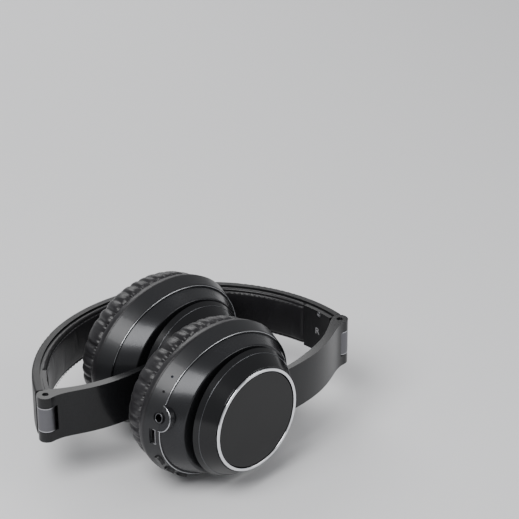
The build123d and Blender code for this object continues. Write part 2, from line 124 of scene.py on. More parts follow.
def cup_frame(side):
    """Middle of the cup's mouth, the way to the far end of the oval, and the way out."""
    plate = middle(f"pad_plate_{side}")
    pivot = Vector(JOINTS[f"tilt_{side}"]["pos_m"])
    out = (pivot - plate).normalized()
    along = Vector((-out.y, out.x, 0.0))
    if side == "right":
        along = -along
    return plate + out * PLATE_THICKNESS / 2, along, out


CUP = {side: cup_frame(side) for side in SIDES}
BAND_MIDDLE = Vector(JOINTS["slide_right"]["pos_m"])


def in_cup(side, along, height, out):
    """Points of a cup given along its long axis, up, and outwards, as an array of rows."""
    origin, way, normal = CUP[side]
    along, height, out = np.broadcast_arrays(along, height, out)
    return (
        np.array(origin)
        + along[..., None] * np.array(way)
        + height[..., None] * np.array(UP)
        + out[..., None] * np.array(normal)
    )


def on_band(angle, radius, height):
    """Points round the band's middle, the angle counted from its left to right line."""
    angle, radius, height = np.broadcast_arrays(angle, radius, height)
    x = BAND_MIDDLE.x + radius * np.cos(angle)
    y = BAND_MIDDLE.y + radius * np.sin(angle)
    return np.stack([x, y, BAND_MIDDLE.z + height], -1)


# ---------------------------------------------------------------- shader maths


class Field:
    """One socket of a material's nodes. Sums and products of fields add Math nodes."""

    def __init__(self, recipe, socket):
        self.recipe = recipe
        self.socket = socket

    def maths(self, operation, *others):
        values = dict(enumerate((self, *others)))
        return self.recipe.node("ShaderNodeMath", {"operation": operation}, values)

    def __add__(self, other):
        return self.maths("ADD", other)

    __radd__ = __add__

    def __mul__(self, other):
        return self.maths("MULTIPLY", other)

    __rmul__ = __mul__

    def sine(self):
        return self.maths("SINE")

    def size(self):
        return self.maths("ABSOLUTE")

    def between(self, low, high):
        """0 at low, 1 at high, smooth in between."""
        return self.recipe.node(
            "ShaderNodeMapRange",
            {"interpolation_type": "SMOOTHSTEP"},
            {"Value": self, "From Min": low, "From Max": high},
        )


class Recipe:
    """The nodes of one finish."""

    def __init__(self, name):
        self.material = bpy.data.materials.new(name)
        self.material.use_nodes = True
        self.tree = self.material.node_tree
        self.tree.nodes.clear()
        self.skin = self.tree.nodes.new("ShaderNodeBsdfPrincipled")
        self.end = self.tree.nodes.new("ShaderNodeOutputMaterial")
        self.tree.links.new(self.skin.outputs[0], self.end.inputs[0])

    def node(self, kind, settings=None, sockets=None, result=0):
        made = self.tree.nodes.new(kind)
        for key, value in (settings or {}).items():
            setattr(made, key, value)
        for key, value in (sockets or {}).items():
            self.feed(made.inputs[key], value)
        return Field(self, made.outputs[result])

    def feed(self, socket, value):
        if isinstance(value, Field):
            self.tree.links.new(value.socket, socket)
        elif isinstance(value, (tuple, list)) and len(value) == 3 and socket.type == "RGBA":
            socket.default_value = (*value, 1.0)
        else:
            socket.default_value = value

    def place(self, turn=0.0, stretch=(1.0, 1.0, 1.0)):
        """Object coordinates, turned about the upright axis and stretched."""
        spot = self.node("ShaderNodeTexCoord", result="Object")
        return self.node(
            "ShaderNodeMapping",
            {},
            {"Vector": spot, "Rotation": (0.0, 0.0, turn), "Scale": stretch},
        )

    def noise(self, scale, detail=2.0, roughness=0.5, at=None):
        return self.node(
            "ShaderNodeTexNoise",
            {},
            {
                "Vector": at or self.place(),
                "Scale": scale,
                "Detail": detail,
                "Roughness": roughness,
            },
        )

    def mix(self, factor, first, second):
        return self.node(
            "ShaderNodeMix",
            {"data_type": "RGBA"},
            {0: factor, 6: first, 7: second},
            result=2,
        )

    def relief(self, height, depth, strength=1.0):
        return self.node(
            "ShaderNodeBump",
            {},
            {"Height": height, "Distance": depth, "Strength": strength},
        )

    def finish(self, **sockets):
        for name, value in sockets.items():
            self.feed(self.skin.inputs[name.replace("_", " ")], value)
        return self.material


# ---------------------------------------------------------------- finishes


def satin_plastic(name, colour, roughness=0.36, grain=0.00002):
    """Moulded plastic with a fine spark eroded grain and faint wear."""
    r = Recipe(name)
    fine = r.noise(4200.0, 1.0)
    wear = r.noise(38.0, 4.0, 0.6).between(0.35, 0.75)
    lighter = tuple(c * 1.35 + 0.002 for c in colour)
    return r.finish(
        Base_Color=r.mix(wear, colour, lighter),
        Roughness=roughness + wear * 0.08,
        Specular_IOR_Level=0.35,
        Normal=r.relief(fine, grain, 0.6),
    )


def painted_shell(name, colour, roughness, metallic, shine=0.4, coat=0.12):
    """Dark pearl paint on the cup and cap, smooth enough to carry soft reflections."""
    r = Recipe(name)
    flake = r.noise(5200.0, 0.0)
    haze = r.noise(26.0, 3.0, 0.55).between(0.3, 0.8)
    return r.finish(
        Base_Color=r.mix(flake, colour, tuple(c * 1.5 for c in colour)),
        Metallic=metallic,
        Roughness=roughness + haze * 0.05,
        Specular_IOR_Level=shine,
        Coat_Weight=coat,
        Coat_Roughness=0.1,
    )


def gloss_plastic(name, colour, roughness=0.07):
    """Polished plastic with the faint smears that hands leave."""
    r = Recipe(name)
    smears = r.noise(52.0, 4.0, 0.6).between(0.42, 0.8)
    return r.finish(
        Base_Color=r.mix(smears, colour, tuple(c * 1.25 + 0.001 for c in colour)),
        Roughness=roughness + smears * 0.07,
        Specular_IOR_Level=0.32,
    )


def leatherette(name, colour, pebble=1250.0):
    """Soft coated cloth with a pebbled skin and shallow creases."""
    r = Recipe(name)
    spot = r.place()
    cells = r.node(
        "ShaderNodeTexVoronoi", {"feature": "F1"}, {"Vector": spot, "Scale": pebble}
    )
    creases = r.noise(520.0, 4.0, 0.6, spot)
    patches = r.noise(45.0, 3.0, 0.5, spot).between(0.3, 0.75)
    height = cells * 0.5 + creases * 0.5
    return r.finish(
        Base_Color=r.mix(patches, colour, tuple(c * 1.4 for c in colour)),
        Roughness=0.33 + patches * 0.12,
        Specular_IOR_Level=0.4,
        Sheen_Weight=0.05,
        Sheen_Roughness=0.4,
        Normal=r.relief(height, 0.00013, 0.5),
    )


def brushed_metal(name, colour, roughness=0.28, turn=0.0, stretch=(40.0, 40.0, 1200.0)):
    """Metal with fine straight marks from rolling or turning."""
    r = Recipe(name)
    marks = r.noise(1.0, 3.0, 0.6, r.place(turn, stretch))
    return r.finish(
        Base_Color=r.mix(marks, colour, tuple(min(1.0, c * 1.2) for c in colour)),
        Metallic=1.0,
        Roughness=roughness + marks * 0.12,
        Normal=r.relief(marks, 0.00002, 0.4),
    )


def chrome(name, colour, roughness=0.07):
    """Bright plating with a trace of haze."""
    r = Recipe(name)
    haze = r.noise(60.0, 3.0).between(0.4, 0.8)
    return r.finish(Base_Color=colour, Metallic=1.0, Roughness=roughness + haze * 0.06)


def woven_cloth(name, colour, turn, pitch=0.00062):
    """Fine acoustic cloth: threads over and under each other, open at the crossings."""
    r = Recipe(name)
    spot = r.place(turn)
    parts = r.tree.nodes.new("ShaderNodeSeparateXYZ")
    r.feed(parts.inputs[0], spot)
    across = Field(r, parts.outputs[0]) * (math.pi / pitch)
    up = Field(r, parts.outputs[2]) * (math.pi / pitch)
    over = across.sine() * up.sine()
    threads = over.size()
    uneven = r.noise(900.0, 2.0, 0.5, spot)
    return r.finish(
        Base_Color=r.mix(threads, tuple(c * 0.35 for c in colour), colour),
        Roughness=0.72 + uneven * 0.12,
        Sheen_Weight=0.2,
        Normal=r.relief(threads + uneven * 0.3, 0.00016, 0.8),
    )


def pierced_metal(name, colour, pitch=0.0007):
    """Fine steel mesh over the microphone."""
    r = Recipe(name)
    spot = r.place()
    holes = r.node(
        "ShaderNodeTexVoronoi", {"feature": "F1"}, {"Vector": spot, "Scale": 1 / pitch}
    ).between(0.25, 0.45)
    return r.finish(
        Base_Color=r.mix(holes, tuple(c * 0.2 for c in colour), colour),
        Metallic=1.0,
        Roughness=0.34 + holes * 0.1,
        Normal=r.relief(holes, 0.0001, 0.8),
    )


def printed_board(name, colour):
    """Solder mask over copper runs."""
    r = Recipe(name)
    runs = r.node(
        "ShaderNodeTexBrick",
        {"offset": 0.5},
        {"Vector": r.place(), "Scale": 260.0, "Mortar Size": 0.03},
        result=1,
    )
    tint = r.noise(30.0, 2.0)
    return r.finish(
        Base_Color=r.mix(runs, colour, tuple(min(1, c * 1.9 + 0.02) for c in colour)),
        Roughness=0.3 + tint * 0.1,
        Normal=r.relief(runs, 0.00003, 0.6),
    )


def clear_plastic(name, colour, alpha):
    """Thin clear film or lens."""
    r = Recipe(name)
    haze = r.noise(160.0, 2.0)
    return r.finish(
        Base_Color=colour, Roughness=0.12 + haze * 0.1, Alpha=alpha, Metallic=0.0
    )


def foil(name, colour):
    """Crinkled foil pouch of the battery."""
    r = Recipe(name)
    crinkle = r.noise(420.0, 4.0, 0.65)
    return r.finish(
        Base_Color=colour,
        Metallic=0.75,
        Roughness=0.32 + crinkle * 0.15,
        Normal=r.relief(crinkle, 0.00012, 0.5),
    )


def floor_paper(name, colour):
    """Matt pale paper."""
    r = Recipe(name)
    tooth = r.noise(900.0, 3.0)
    return r.finish(
        Base_Color=colour, Roughness=0.75 + tooth * 0.1, Normal=r.relief(tooth, 0.00005, 0.2)
    )


# ---------------------------------------------------------------- meshes


def add_object(name, data):
    """A new object in the scene, at the origin."""
    made = bpy.data.objects.new(name, data)
    bpy.context.scene.collection.objects.link(made)
    return made


def rows_of(mesh, what="co"):
    """The points or the normals of a mesh, as an array of rows."""
    values = np.zeros(len(mesh.vertices) * 3)
    mesh.vertices.foreach_get(what, values)
    return values.reshape(-1, 3)


def new_piece(name, points, faces, material, smooth=True):
    """A mesh object at the origin from points and faces, its faces pointing outwards."""
    mesh = bpy.data.meshes.new(name)
    mesh.from_pydata([tuple(p) for p in points], [], [tuple(f) for f in faces])
    mesh.validate()
    mesh.update()
    piece = add_object(name, mesh)
    mesh.materials.append(material)
    mesh.shade_smooth() if smooth else mesh.shade_flat()
    return piece


def net(rows, columns, closed_rows=True, flip=False):
    """Four sided faces over a net of points, counted row by row."""
    faces = []
    for i in range(rows if closed_rows else rows - 1):
        for j in range(columns):
            a = i * columns + j
            b = i * columns + (j + 1) % columns
            c = ((i + 1) % rows) * columns + (j + 1) % columns
            d = ((i + 1) % rows) * columns + j
            faces.append((a, d, c, b) if flip else (a, b, c, d))
    return faces


def signed_volume(points, faces):
    """The volume that faces of three or four corners enclose, under zero when inside out."""
    total = 0.0
    for first, *rest in faces:
        for second, third in zip(rest, rest[1:]):
            total += np.dot(points[first], np.cross(points[second], points[third])) / 6
    return total


def swept_ring(name, grid, material):
    """A closed ring: grid holds rows round the ring, each a closed section."""
    rows, columns, _ = grid.shape
    points = grid.reshape(-1, 3)
    centre = points.mean(0)
    faces = net(rows, columns)
    if signed_volume(points - centre, faces) < 0:
        faces = net(rows, columns, flip=True)
    return new_piece(name, points, faces, material)


def capped_sweep(name, grid, material):
    """A closed strip: grid holds rows along the strip, each a closed section, ends capped."""
    rows, columns, _ = grid.shape
    points = np.vstack(
        [grid.reshape(-1, 3), grid[0].mean(0)[None], grid[-1].mean(0)[None]]
    )
    first, last = rows * columns, rows * columns + 1
    faces = net(rows, columns, closed_rows=False)
    for j in range(columns):
        k = (j + 1) % columns
        faces.append((first, k, j))
        faces.append((last, (rows - 1) * columns + j, (rows - 1) * columns + k))
    centre = points.mean(0)
    if signed_volume(points - centre, faces) < 0:
        faces = [tuple(reversed(f)) for f in faces]
    return new_piece(name, points, faces, material)


def even_angles(length, height, count):
    """Angles that step evenly round an oval."""
    t = np.linspace(0, 2 * math.pi, 4001)
    x, y = length * np.cos(t), height * np.sin(t)
    run = np.concatenate([[0], np.cumsum(np.hypot(np.diff(x), np.diff(y)))])
    return np.interp(np.arange(count) / count * run[-1], run, t)


def oval_ring(name, side, length, height, section, count, material):
    """A ring round a cup: section holds (stand off from the oval, way out) pairs."""
    t = even_angles(length, height, count)
    off = np.array([s[0] for s in section])
    out = np.array([s[1] for s in section])
    grid = in_cup(
        side,
        (length + off[None, :]) * np.cos(t)[:, None],
        (height + off[None, :]) * np.sin(t)[:, None],
        out[None, :] + 0 * t[:, None],
    )
    return swept_ring(name, grid, material)


def round_section(radius_off, radius_out, middle_out, corners, power=1.0, middle_off=0.0):
    """A closed rounded section; a power under 1 squares it up."""
    made = []
    for k in range(corners):
        a = 2 * math.pi * k / corners
        c, s = math.cos(a), math.sin(a)
        made.append(
            (
                middle_off + radius_off * math.copysign(abs(c) ** power, c),
                middle_out + radius_out * math.copysign(abs(s) ** power, s),
            )
        )
    return made


def apply_modifiers(piece):
    """Bakes what the modifiers do into the piece's own mesh and removes them."""
    graph = bpy.context.evaluated_depsgraph_get()
    graph.update()
    result = bpy.data.meshes.new_from_object(piece.evaluated_get(graph))
    old = piece.data
    piece.modifiers.clear()
    piece.data = result
    bpy.data.meshes.remove(old)


def blow_up(piece, held, pressure, limit, frames=20):
    """Swells a skin with the Cloth solver; held points stay, no point moves past limit."""
    mesh = piece.data
    before = rows_of(mesh)
    # the solver's lengths suit pieces a metre across, so the skin is simulated enlarged
    mesh.vertices.foreach_set("co", (before * SOLVER_SCALE).ravel())
    group = piece.vertex_groups.new(name="held")
    for index, weight in enumerate(held):
        if weight > 0:
            group.add([index], float(weight), "REPLACE")
    cloth = piece.modifiers.new("skin", "CLOTH")
    settings = cloth.settings
    settings.quality = 6
    settings.mass = 0.25
    settings.tension_stiffness = 14
    settings.compression_stiffness = 14
    settings.shear_stiffness = 6
    settings.bending_stiffness = 0.4
    settings.use_pressure = True
    settings.uniform_pressure_force = pressure
    settings.vertex_group_mass = "held"
    settings.effector_weights.gravity = 0
    cloth.collision_settings.use_collision = False
    cloth.point_cache.frame_start, cloth.point_cache.frame_end = 1, frames
    scene = bpy.context.scene
    for number in range(1, frames + 1):
        scene.frame_set(number)
    graph = bpy.context.evaluated_depsgraph_get()
    after = rows_of(piece.evaluated_get(graph).data) / SOLVER_SCALE
    piece.modifiers.clear()
    piece.vertex_groups.clear()
    scene.frame_set(1)
    step = after - before
    far = np.linalg.norm(step, axis=1, keepdims=True)
    step *= np.minimum(1.0, limit / np.maximum(far, 1e-12))
    mesh.vertices.foreach_set("co", (before + step).ravel())
    mesh.update()
    most = float(np.minimum(far, limit).max() / MM)
    print("swelled", piece.name, "by up to", round(most, 2), "mm")


def refine(piece, levels):
    """Subdivides a piece and keeps the result as its mesh."""
    smooth = piece.modifiers.new("smooth", "SUBSURF")
    smooth.levels = smooth.render_levels = levels
    apply_modifiers(piece)


def put(piece, points):
    """Moves a piece's points to new places."""
    piece.data.vertices.foreach_set("co", points.ravel())
    piece.data.update()
    piece.data.shade_smooth()


def cup_measures(side, points):
    """Each point's place along, up and out of a cup, from the middle of its mouth."""
    origin, way, normal = (np.array(v) for v in CUP[side])
    rel = points - origin
    return rel @ way, rel[:, 2], rel @ normal


def ragged(number):
    """A fixed uneven value from 0 to 1 for a whole number."""
    return np.modf(np.abs(np.sin(np.asarray(number, float) * 12.9898 + 4.1) * 43758.5453))[0]


# ---------------------------------------------------------------- sizes and colours


def length(name, description, default):
    return bpy.props.FloatProperty(
        name=name, description=description, default=default, unit="LENGTH", precision=5
    )


def colour(name, description, default):
    return bpy.props.FloatVectorProperty(
        name=name, description=description, default=default, subtype="COLOR", size=3,
        min=0.0, max=1.0,
    )


class EarPadSizes(bpy.types.PropertyGroup):
    """Sizes of the two ear pads."""

    long_half: length("Long half", "Half the pad's length", 41.5 * MM)
    short_half: length("Short half", "Half the pad's height", 35.0 * MM)
    width: length("Roll width", "Width of the padded roll", 14.5 * MM)
    depth: length("Depth", "How far the pad stands off its plate", 17.3 * MM)
    pleats: bpy.props.IntProperty(
        name="Pleats", description="Gathers round the outer side", default=40, min=8
    )
    pleat_depth: length("Pleat depth", "How deep a gather sinks", 2.0 * MM)
    lip_width: length("Lip width", "Rolled edge at the housing", 5.0 * MM)
    flare: length("Flare", "How far the roll leans out at the housing", 2.9 * MM)


class CushionSizes(bpy.types.PropertyGroup):
    """Sizes of the cushion inside the band."""

    outer_radius: length("Outer radius", "Where the cushion meets the band", 77.4 * MM)
    thickness: length("Thickness", "Cushion thickness at its middle", 3.0 * MM)
    half_width: length("Half width", "Half the cushion's width", 11.5 * MM)
    start: bpy.props.FloatProperty(
        name="Start", description="Where the cushion starts round the band",
        default=math.radians(23.6), subtype="ANGLE",
    )
    stitch_pitch: length("Stitch pitch", "Step from stitch to stitch", 2.6 * MM)
    stitch_length: length("Stitch length", "Length of one stitch", 1.7 * MM)


class TrimSizes(bpy.types.PropertyGroup):
    """Sizes of the thin bright lines."""

    edge_line: length("Edge line", "Width of the bright line round the cup", 0.55 * MM)
    cap_line: length("Cap line", "Width of the line round the cap", 0.35 * MM)
    socket_ring: length("Socket ring", "Width of the ring round the socket", 0.5 * MM)


class FinishColours(bpy.types.PropertyGroup):
    """Colours of the main finishes."""

    satin: colour("Satin plastic", "Rims, band and covers", (0.011, 0.011, 0.012))
    paint: colour("Pearl paint", "Cups, caps and arms", (0.02, 0.0205, 0.0225))
    gloss: colour("Gloss plastic", "Cap discs", (0.004, 0.004, 0.0045))
    leather: colour("Leatherette", "Pads and band cushion", (0.012, 0.0115, 0.013))
    # bright plates the rings; the cup's step line takes a dimmer copy of it, and there its colour is a painted
    # highlight
    bright: colour("Bright plating", "Rings and edge lines", (0.82, 0.83, 0.86))


class StudioSettings(bpy.types.PropertyGroup):
    """Floor and light."""

    floor: colour("Floor", "Colour of the floor", (0.80, 0.80, 0.81))
    key_power: bpy.props.FloatProperty(
        name="Key light", description="Strength of the main light", default=7.5,
        subtype="POWER",
    )
    fill_power: bpy.props.FloatProperty(
        name="Fill light", description="Strength of the fill light", default=3.0,
        subtype="POWER",
    )


# ---------------------------------------------------------------- finishes on the frame


FINISHES = {}


class HEADPHONES_OT_finishes(bpy.types.Operator):
    """Make every finish and put one on each part of the frame"""

    bl_idname = "headphones.finishes"
    bl_label = "Finishes"

    def execute(self, context):
        c = context.scene.headphone_colours
        satin, paint, gloss = tuple(c.satin), tuple(c.paint), tuple(c.gloss)
        turn = -math.atan2(CUP["left"][1].y, CUP["left"][1].x)
        FINISHES.update(
            satin=satin_plastic("satin plastic", satin),
            band=satin_plastic("band plastic", tuple(v * 0.85 for v in satin), 0.46, 0.00004),
            rim=painted_shell("rim paint", tuple(v * 0.75 for v in paint), 0.34, 0.3),
            paint=painted_shell("pearl paint", paint, 0.25, 0.55),
            arm=painted_shell("arm paint", tuple(v * 0.4 for v in paint), 0.17, 0.1, 0.3, 0.05),
            gloss=gloss_plastic("gloss plastic", gloss),
            leather=leatherette("leatherette", tuple(c.leather)),
            band_leather=leatherette(
                "band leatherette", tuple(v * 0.9 for v in c.leather), 1500.0
            ),
            spring=brushed_metal("spring steel", (0.42, 0.42, 0.44), 0.3),
            hinge=brushed_metal("hinge steel", (0.13, 0.13, 0.14), 0.34),
            screw=brushed_metal("screw steel", (0.2, 0.2, 0.21), 0.3),
            bright=chrome("bright plating", tuple(c.bright)),
            # the cup's step line: its tilted strip is the real chamfer, and its bright metal colour is a painted
            # highlight along that edge
            line=chrome("edge plating", tuple(v * 0.55 for v in c.bright), 0.16),
            # the raised ring round the cap: its metal grey, lighter than the arm's paint, is a painted highlight
            # on the cap's edge
            seam=chrome("seam lacquer", (0.11, 0.112, 0.12), 0.28),
            magnet=brushed_metal("magnet plating", (0.55, 0.55, 0.56), 0.22),
            film=clear_plastic("driver film", (0.45, 0.45, 0.42), 0.75),
            cloth=woven_cloth("speaker cloth", (0.03, 0.03, 0.032), turn),
            battery=foil("battery foil", (0.55, 0.57, 0.6)),
            board=printed_board("circuit board", (0.012, 0.11, 0.05)),
            socket=brushed_metal("socket steel", (0.3, 0.3, 0.31), 0.28),
            lens=gloss_plastic("light lens", (0.01, 0.012, 0.02), 0.05),
            mesh=pierced_metal("microphone mesh", (0.04, 0.04, 0.042)),
            mark=satin_plastic("printed mark", (0.32, 0.32, 0.33), 0.5),
            thread=leatherette("thread", (0.035, 0.035, 0.038), 2600.0),
            dark=gloss_plastic("dark plastic", (0.004, 0.004, 0.004), 0.25),
        )
        wanted = {
            "band_shell": "band", "band_liner": "satin", "band_cushion": "leather",
            "end_cover": "satin", "band_spring": "spring", "band_screws": "screw",
            "slider_strip": "spring", "hinge_block": "hinge", "hinge_pin": "hinge",
            "hinge_washers": "spring", "arm_shell": "arm", "arm_liner": "satin",
            "arm_screws": "screw", "trim_ring": "bright", "cap_disc": "gloss",
            "tilt_pin": "hinge", "cup_rim": "rim", "cup_barrel": "paint",
            "tilt_lug": "satin", "baffle": "satin", "cup_screws": "screw",
            "driver_basket": "satin", "driver_magnet": "magnet",
            "driver_diaphragm": "film", "pad_plate": "satin",
            "speaker_cloth": "cloth", "ear_pad": "leather", "battery": "battery",
            "circuit_board": "board", "audio_socket": "dark",
            "charging_socket": "socket", "light_lens": "lens",
            "microphone_cap": "mesh", "power_button": "satin",
            "volume_up_button": "satin", "volume_down_button": "satin",
        }
        for name, node in frame["nodes"].items():
            plain = name.replace("_left", "").replace("_right", "")
            node.data.materials.clear()
            node.data.materials.append(FINISHES[wanted[plain]])
        return {"FINISHED"}


# ---------------------------------------------------------------- ear pads


def pad_places(side, points, sizes):
    """Where each point of a pad lies: angle round the oval, stand off from the roll's
    middle oval, and the way out."""
    u, z, out = cup_measures(side, points)
    length_mid = sizes.long_half - sizes.width / 2
    height_mid = sizes.short_half - sizes.width / 2
    off = np.zeros(len(points))
    for _ in range(12):
        value = (u / (length_mid + off)) ** 2 + (z / (height_mid + off)) ** 2 - 1
        slope = -2 * u**2 / (length_mid + off) ** 3 - 2 * z**2 / (height_mid + off) ** 3
        off -= value / slope
    angle = np.arctan2(z / (height_mid + off), u / (length_mid + off))
    return angle, off, out


def make_pad(side, sizes):
    plate = -PLATE_THICKNESS
    length_mid = sizes.long_half - sizes.width / 2
    height_mid = sizes.short_half - sizes.width / 2
    middle_out = plate - sizes.depth / 2
    start = round_section(
        sizes.width / 2 * 0.89, sizes.depth / 2 * 0.93, middle_out, 22, 0.72
    )
    # the outer side leans out towards the housing
    flared = []
    for off, out in start:
        near = min(1.0, max(0.0, (out - plate + sizes.depth * 0.9) / (sizes.depth * 0.6)))
        flared.append((off + sizes.flare * max(0.0, off / sizes.width * 2) * near, out))
    pad = oval_ring(
        f"soft_pad_{side}", side, length_mid, height_mid, flared, 108, FINISHES["leather"]
    )
    points = rows_of(pad.data)
    _, off, out = pad_places(side, points, sizes)
    # held where it is glued to its plate and along the seam beside the smooth lip
    glued = out > plate - 1.0 * MM
    seam_out = -sizes.lip_width - 0.2 * MM
    seam = (np.abs(out - seam_out) < 0.9 * MM) & (off > 0)
    held = np.where(glued | seam, 1.0, 0.0)
    blow_up(pad, held, PAD_PRESSURE, PAD_SWELL)
    refine(pad, 2)
    points = rows_of(pad.data)
    angle, off, out = pad_places(side, points, sizes)
    # even steps round the oval, so that the gathers are evenly spaced
    t = even_angles(length_mid, height_mid, 720)
    table = np.concatenate([t, [t[0] + 2 * math.pi]])
    share = np.interp(np.mod(angle, 2 * math.pi), table, np.arange(721) / 720)
    down = (seam_out - out) / (sizes.depth + plate - seam_out)
    lean = 0.16 * np.sin(share * 2 * math.pi * 3 + 1.0)
    phase = share * sizes.pleats + lean * down * 2
    count = sizes.pleats
    sink = np.zeros(len(points))
    for shift in (-1, 0, 1):
        number = np.floor(phase) + shift
        centre = number + 0.5 + 0.42 * (ragged(np.mod(number, count)) - 0.5)
        width = 0.15 + 0.07 * ragged(np.mod(number, count) + 100)
        deep = 0.45 + 0.7 * ragged(np.mod(number, count) + 200)
        reach = 0.5 + 0.45 * ragged(np.mod(number, count) + 300)
        width = width * (0.75 + 1.1 * np.clip(down, 0, 1))
        fade = np.clip(down / 0.04, 0, 1) * np.clip(1 - down / reach, 0, 1) ** 1.15
        sink += deep * np.exp(-(((phase - centre) / width) ** 2)) * fade
    outer = np.clip(off / (sizes.width / 2) * 1.7, 0, 1)
    gathered = np.clip((0.12 - down) / 0.12, 0, 1) * np.clip(down / 0.02, 0, 1)
    # the skin between two gathers stands up a little, and dips along the seam
    bulge = np.clip(down / 0.2, 0, 1) * np.clip((1 - down) / 0.5, 0, 1)
    drop = sizes.pleat_depth * outer * (np.minimum(sink, 1.2) - 0.12 * bulge)
    drop += TUCK_DEPTH * outer * gathered
    # short tucks between the long gathers
    tucks = np.clip(np.sin(share * 2 * math.pi * (count * 2 + 7) + 1.3), 0, 1) ** 3
    reach = np.clip(down / 0.04, 0, 1) * np.clip(1 - down / 0.3, 0, 1)
    drop += TUCK_DEPTH * outer * tucks * reach
    creases = FINE_CREASE_DEPTH * np.sin(share * 2 * math.pi * 171 + 5 * np.sin(down * 9))
    drop += creases * outer * np.clip(down * 3, 0, 1) * np.clip(1.2 - down, 0, 1)
    # shallow puckers on the inner side, where the skin turns into the ear opening
    inner = np.clip(-off / (sizes.width / 2) * 1.5, 0, 1)
    pucker = np.sin(share * 2 * math.pi * PUCKERS + 1.5 * np.sin(share * 40)) ** 2
    drop += PUCKER_DEPTH * inner * pucker * np.clip((down - 0.35) * 3, 0, 1)
    pad.data.update()
    put(pad, points - rows_of(pad.data, "normal") * drop[:, None])
    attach(pad, f"cup_{side}")
    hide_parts(f"ear_pad_{side}")


def make_lip(side, sizes):
    """The smooth rolled edge of the pad's cover, as wide as the housing's rim."""
    rim_short = (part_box(f"cup_rim_{side}")[1].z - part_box(f"cup_rim_{side}")[0].z) / 2
    rim_long = rim_short * RIM_OVAL
    roll = round_section(
        1.9 * MM, sizes.lip_width / 2, -sizes.lip_width / 2 - 0.22 * MM, 20, 0.8, -1.75 * MM
    )
    roll = [(off + out * 0.22, out) for off, out in roll]
    lip = oval_ring(
        f"pad_lip_{side}", side, rim_long, rim_short, roll, 220, FINISHES["leather"]
    )
    refine(lip, 1)
    points = rows_of(lip.data)
    u, z, out = cup_measures(side, points)
    angle = np.arctan2(z, u)
    fade = np.clip((-sizes.lip_width * 0.6 - out) / (sizes.lip_width * 0.4), 0, 1)
    wave = 0.16 * MM * np.sin(angle * 40 + 2 * np.sin(angle * 5)) * fade
    away = np.stack([u, z], -1)
    away /= np.linalg.norm(away, axis=1, keepdims=True)
    step = away[:, :1] * np.array(CUP[side][1]) + away[:, 1:] * np.array(UP)
    points = points - step * wave[:, None]
    # pressed flat where the cup stands on it
    points[:, 2] = np.maximum(points[:, 2], 0.12 * MM)
    put(lip, points)
    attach(lip, f"cup_{side}")


class HEADPHONES_OT_ear_pads(bpy.types.Operator):
    """Swell, pleat and edge the two ear pads"""

    bl_idname = "headphones.ear_pads"
    bl_label = "Ear pads"

    def execute(self, context):
        sizes = context.scene.headphone_pads
        for side in SIDES:
            make_pad(side, sizes)
            make_lip(side, sizes)
        return {"FINISHED"}


# ---------------------------------------------------------------- band cushion and stitches


def node_group(name, taken, given):
    """A Geometry Nodes group: its tree, its inputs' identifiers and its two end nodes."""
    tree = bpy.data.node_groups.new(name, "GeometryNodeTree")
    sockets = {}
    for label, kind, default in taken:
        made = tree.interface.new_socket(label, in_out="INPUT", socket_type="NodeSocket" + kind)
        if default is not None:
            made.default_value = default
        sockets[label] = made.identifier
    tree.interface.new_socket(given, in_out="OUTPUT", socket_type="NodeSocketGeometry")
    return tree, sockets, tree.nodes.new("NodeGroupInput"), tree.nodes.new("NodeGroupOutput")


def stitch_tree():
    """Geometry Nodes: a row of short thread stitches along a line."""
    tree, sizes, start, end = node_group(
        "stitches",
        (
            ("Line", "Geometry", None), ("Pitch", "Float", 2.6 * MM),
            ("Length", "Float", 1.7 * MM), ("Thread radius", "Float", 0.22 * MM),
            ("Finish", "Material", None),
        ),
        "Stitches",
    )
    nodes = tree.nodes

    def maths(operation, slot=0, constant=0.0):
        made = nodes.new("ShaderNodeMath")
        made.operation = operation
        made.inputs[slot].default_value = constant
        return made

    curve = nodes.new("GeometryNodeMeshToCurve")
    steps = nodes.new("GeometryNodeResampleCurve")
    steps.mode = "LENGTH"
    thread = nodes.new("GeometryNodeMeshCylinder")
    thread.inputs["Vertices"].default_value = 8
    thread.inputs["Side Segments"].default_value = 4
    bow = nodes.new("GeometryNodeSetPosition")
    tangent = nodes.new("GeometryNodeInputTangent")
    aim = nodes.new("FunctionNodeAlignRotationToVector")
    aim.axis = "Z"
    place = nodes.new("GeometryNodeInstanceOnPoints")
    real = nodes.new("GeometryNodeRealizeInstances")
    paint = nodes.new("GeometryNodeSetMaterial")
    # each thread bows: its ends dip into the cushion
    spot = nodes.new("GeometryNodeInputPosition")
    part = nodes.new("ShaderNodeSeparateXYZ")
    share = maths("DIVIDE")
    square = maths("MULTIPLY")
    small = maths("MULTIPLY", 1, 2.4)
    thin = maths("SUBTRACT", 0, 1.0)
    scaled = nodes.new("ShaderNodeVectorMath")
    scaled.operation = "MULTIPLY"
    ends = nodes.new("ShaderNodeCombineXYZ")
    ends.inputs[2].default_value = 1.0
    for given, taker, socket in (
        (start.outputs["Line"], curve, 0),
        (curve.outputs[0], steps, "Curve"),
        (start.outputs["Pitch"], steps, "Length"),
        (steps.outputs[0], place, "Points"),
        (start.outputs["Length"], thread, "Depth"),
        (start.outputs["Thread radius"], thread, "Radius"),
        (thread.outputs["Mesh"], bow, "Geometry"),
        (spot.outputs[0], part, 0),
        (part.outputs[2], share, 0),
        (start.outputs["Length"], share, 1),
        (share.outputs[0], square, 0),
        (share.outputs[0], square, 1),
        (square.outputs[0], small, 0),
        (small.outputs[0], thin, 1),
        (thin.outputs[0], ends, 0),
        (thin.outputs[0], ends, 1),
        (spot.outputs[0], scaled, 0),
        (ends.outputs[0], scaled, 1),
        (scaled.outputs[0], bow, "Position"),
        (tangent.outputs[0], aim, "Vector"),
        (aim.outputs[0], place, "Rotation"),
        (bow.outputs[0], place, "Instance"),
        (place.outputs[0], real, 0),
        (real.outputs[0], paint, "Geometry"),
        (start.outputs["Finish"], paint, "Material"),
        (paint.outputs[0], end, 0),
    ):
        tree.links.new(given, taker.inputs[socket])
    return tree, sizes


